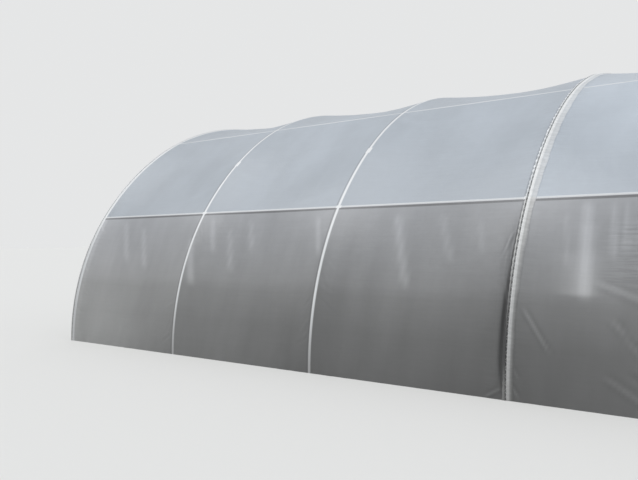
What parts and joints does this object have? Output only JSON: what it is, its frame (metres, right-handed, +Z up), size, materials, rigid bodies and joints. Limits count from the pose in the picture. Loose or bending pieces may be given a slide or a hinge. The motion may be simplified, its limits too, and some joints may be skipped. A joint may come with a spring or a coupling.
{
  "type": "polytunnel greenhouse",
  "caption": "Walk-in polytunnel greenhouse: bent tube hoops with purlins under hazy plastic film, locked at the end and middle hoops, open doorway in each end.",
  "frame": {"origin": "on the ground at the middle of the tunnel", "axes": "+X along the tunnel to the right end, -Y to the front long side, +Z up"},
  "size_m": [15.0752, 8.8246, 4.0123],
  "materials": {
    "cover_film": "hazy translucent polyethylene film",
    "end_film": "hazy translucent polyethylene film",
    "flap_film": "doubled translucent film",
    "hoop_tube": "galvanised, with a pale tape on the outer side",
    "purlin_tube": "galvanised",
    "frame_tube": "galvanised",
    "strap": "zinc plated",
    "channel": "mill finish"
  },
  "bodies": {
    "root": {"back_lower_purlin": "purlin_tube", "back_purlin_straps": "strap", "back_upper_purlin": "purlin_tube", "corner_braces": "purlin_tube", "front_lower_purlin": "purlin_tube", "front_purlin_straps": "strap", "front_upper_purlin": "purlin_tube", "hoop_1_crown": "hoop_tube", "hoop_1_legs": "hoop_tube", "hoop_2_crown": "hoop_tube", "hoop_2_legs": "hoop_tube", "hoop_3_crown": "hoop_tube", "hoop_3_legs": "hoop_tube", "hoop_4_crown": "hoop_tube", "hoop_4_legs": "hoop_tube", "hoop_5_crown": "hoop_tube", "hoop_5_legs": "hoop_tube", "hoop_6_crown": "hoop_tube", "hoop_6_legs": "hoop_tube", "hoop_7_crown": "hoop_tube", "hoop_7_legs": "hoop_tube", "joint_channel": "channel", "joint_flap": "flap_film", "left_cover": "cover_film", "left_end_channel": "channel", "left_end_door_battens": "channel", "left_end_door_header": "frame_tube", "left_end_door_posts": "frame_tube", "left_end_film_above_door": "end_film", "left_end_film_back": "end_film", "left_end_film_front": "end_film", "left_end_gable_strut": "frame_tube", "left_end_side_rails": "frame_tube", "ridge_purlin": "purlin_tube", "ridge_purlin_straps": "strap", "right_cover": "cover_film", "right_end_channel": "channel", "right_end_door_battens": "channel", "right_end_door_header": "frame_tube", "right_end_door_posts": "frame_tube", "right_end_film_above_door": "end_film", "right_end_film_back": "end_film", "right_end_film_front": "end_film", "right_end_gable_strut": "frame_tube", "right_end_side_rails": "frame_tube"}
  },
  "joints": []
}
